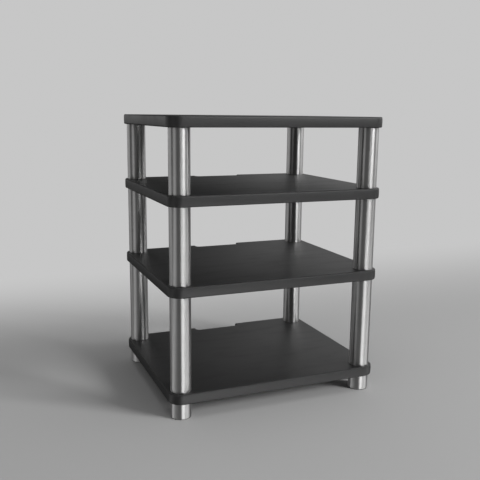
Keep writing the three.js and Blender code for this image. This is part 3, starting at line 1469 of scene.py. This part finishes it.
@dataclass(frozen=True)
class Sky:
    """The plain light from all round, and the darker surround that gloss sees between the panels."""

    plain: float = 0.34
    surround_level: float = 0.165
    surround_middle: float = 0.05
    band_start: float = math.sin(math.radians(9))
    band_end: float = math.sin(math.radians(24))

    def build(self) -> None:
        """Make the world."""
        world = bpy.data.worlds.new("studio")
        bpy.context.scene.world = world
        world.use_nodes = True
        graph = Graph(world.node_tree)
        toward = graph.node("ShaderNodeTexCoord").outputs["Generated"]
        away_from_level = abs(graph.axes(toward)[2]).rise(self.band_start, self.band_end)
        surround = graph.shade(away_from_level, grey(self.surround_middle), grey(self.surround_level))
        gloss = graph.value("ShaderNodeLightPath", output="Is Glossy Ray")
        tone = graph.shade(gloss, grey(self.plain), surround)
        sky = graph.node("ShaderNodeBackground", {}, {"Color": tone})
        graph.node("ShaderNodeOutputWorld", {}, {"Surface": sky.outputs[0]})


@dataclass(frozen=True)
class Cove:
    """A plain pale floor that curves up all round into a plain pale backdrop."""

    floor_tone: float = 0.40
    backdrop_level: float = 0.57
    bend_start: float = 3.0
    bend_radius: float = 1.2
    bend_steps: int = 24
    steps: int = 128
    top: float = 6.0
    behind_start: float = 0.2
    behind_end: float = 1.5
    far_start: float = 1.2
    far_end: float = 3.2
    roughness: float = 0.75
    gloss: float = 0.2
    mottle: Pattern = Pattern(0.6)
    mottle_dulling: float = 0.1

    def build(self) -> None:
        """Lay the floor and raise the backdrop, which throws no light or shadow on the rack."""
        bend = []
        for step in range(self.bend_steps + 1):
            angle = QUARTER * step / self.bend_steps
            radius = self.bend_start + self.bend_radius * math.sin(angle)
            bend.append((radius, self.bend_radius * (1 - math.cos(angle))))
        profile = [*bend, (self.bend_start + self.bend_radius, self.top)]
        material = self.material()
        floor = stage_object("studio_floor", turned([(0.0, 0.0), bend[0]], self.steps), material)
        floor.visible_glossy = False
        backdrop = stage_object("studio_backdrop", turned(profile, self.steps, closed=False), material)
        backdrop.visible_glossy = False
        backdrop.visible_diffuse = False
        backdrop.visible_shadow = False

    def material(self) -> bpy.types.Material:
        """Build the floor's paint, which passes into an evenly pale backdrop for the camera."""
        made, graph = blank_material("studio_cove")
        across, along, up = graph.axes(graph.place())
        away = graph.math("SQRT", across * across + along * along)
        behind = (along + up).rise(self.behind_start, self.behind_end)
        share = graph.math("MAXIMUM", behind, away.rise(self.far_start, self.far_end))
        sockets = {
            "Base Color": (*grey(self.floor_tone), 1.0),
            "Roughness": self.roughness + graph.noise(self.mottle) * self.mottle_dulling,
            "Specular IOR Level": self.gloss,
        }
        paint = graph.node("ShaderNodeBsdfPrincipled", {}, sockets).outputs[0]
        pale = graph.node("ShaderNodeEmission", {}, {"Strength": self.backdrop_level}).outputs[0]
        seen = graph.value("ShaderNodeLightPath", output="Is Camera Ray")
        mixed = graph.node("ShaderNodeMixShader", {}, {0: share * seen, 1: paint, 2: pale})
        graph.node("ShaderNodeOutputMaterial", {}, {"Surface": mixed.outputs[0]})
        return made


def stage_object(title: str, shape: bmesh.types.BMesh, material: bpy.types.Material) -> bpy.types.Object:
    """Put a mesh on the stage.

    Args:
        title: Its name.
        shape: Its mesh.
        material: Its material.

    Returns:
        The object.
    """
    data = bpy.data.meshes.new(title)
    shape.to_mesh(data)
    shape.free()
    data.materials.append(material)
    data.shade_smooth()
    made = bpy.data.objects.new(title, data)
    bpy.context.scene.collection.objects.link(made)
    made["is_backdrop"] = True
    return made


@dataclass(frozen=True)
class Studio:
    """The floor, the backdrop, the lamps and the panels."""

    lamps: tuple[SoftBox, ...] = (
        SoftBox("key_lamp", azimuth=45, elevation=20, distance=10, width=3.2, height=3.2, level=1.15),
        SoftBox("top_lamp", azimuth=20, elevation=78, distance=3.4, width=2.6, height=2.6, level=0.2),
    )
    panels: tuple[Panel, ...] = (
        Panel("main_upper", azimuth=25, spread=12.5, low=16, high=44, level=6.4, lean=0.25, feather=3),
        Panel("main_lower", azimuth=24, spread=13, low=-30, high=-15.5, level=3.05, lean=0.8, feather=3),
        Panel("main_near", azimuth=36, spread=12, low=-62, high=-42, level=0.8, lean=0.8, feather=4),
        Panel("right_upper", azimuth=86, spread=16, low=12, high=60, level=2.9, lean=0.25),
        Panel("right_lower", azimuth=84, spread=13, low=-65, high=-16, level=1.5, lean=1.0),
        Panel("left_upper", azimuth=-61, spread=9, low=0, high=40, level=0.28, lean=-0.25, distance=1.8),
        Panel("left_lower", azimuth=-58, spread=9, low=-55, high=-2, level=0.65, lean=1.3, distance=1.8),
        Panel("rear_left_level", azimuth=-130, spread=22, low=-12, high=10, level=0.45),
        Panel("rear_left_upper", azimuth=-163, spread=11, low=5, high=45, level=0.78),
        Panel("rear_left_lower", azimuth=-155, spread=27, low=-60, high=-13, level=0.03),
        Panel("rear_middle", azimuth=173, spread=7, low=-4, high=45, level=0.03),
        Panel("rear_right", azimuth=131, spread=23, low=-6, high=14, level=0.40),
        Panel("rear_right_upper", azimuth=134, spread=25, low=22, high=45, level=0.50),
    )

    def build(self) -> None:
        """Set up the studio round the rack."""
        low, high = CAD_BOX
        middle = (low + high) / 2
        Sky().build()
        Cove().build()
        for panel in self.panels:
            panel.build(middle)
        for lamp in self.lamps:
            lamp.build(middle)
        LOG.info("studio: %d lamps and %d panels", len(self.lamps), len(self.panels))


@dataclass(frozen=True)
class PhotoCamera:
    """The camera at the photograph's own viewing angle, with its turns in degrees."""

    x: float = -0.74377
    y: float = -1.76228
    z: float = 0.76923
    yaw: float = 22.43
    pitch: float = 10.74
    roll: float = 0.57
    focal_pixels: float = 668.47
    frame_pixels: float = 480.0
    sensor: float = 36.0

    def build(self) -> None:
        """Set the camera up."""
        yaw, pitch, roll = (math.radians(turn) for turn in (self.yaw, self.pitch, self.roll))
        level = math.cos(pitch)
        ahead = Vector((math.sin(yaw) * level, math.cos(yaw) * level, -math.sin(pitch)))
        level_right = Vector((math.cos(yaw), -math.sin(yaw), 0.0))
        level_up = level_right.cross(ahead)
        right = level_right * math.cos(roll) + level_up * math.sin(roll)
        up = level_up * math.cos(roll) - level_right * math.sin(roll)
        data = bpy.data.cameras.new("photo_camera")
        data.sensor_width = self.sensor
        data.lens = self.sensor * self.focal_pixels / self.frame_pixels
        camera = bpy.data.objects.new("photo_camera", data)
        turn = Matrix((right, up, -ahead)).transposed().to_4x4()
        camera.matrix_world = Matrix.Translation((self.x, self.y, self.z)) @ turn
        bpy.context.scene.collection.objects.link(camera)
        bpy.context.scene.camera = camera
        LOG.info("camera: %.2f mm lens", data.lens)


def main() -> None:
    """Build the camera, the rack and the studio."""
    logging.basicConfig(level=logging.INFO, format="%(name)s: %(message)s")
    bpy.context.scene.view_settings.view_transform = "Standard"
    PhotoCamera().build()
    Rack().build()
    Studio().build()
    boxes = {"cad": CAD_BOX, "visual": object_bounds()}
    json.dumps({name: [list(corner) for corner in box] for name, box in boxes.items()})


if __name__ == "__main__":
    main()
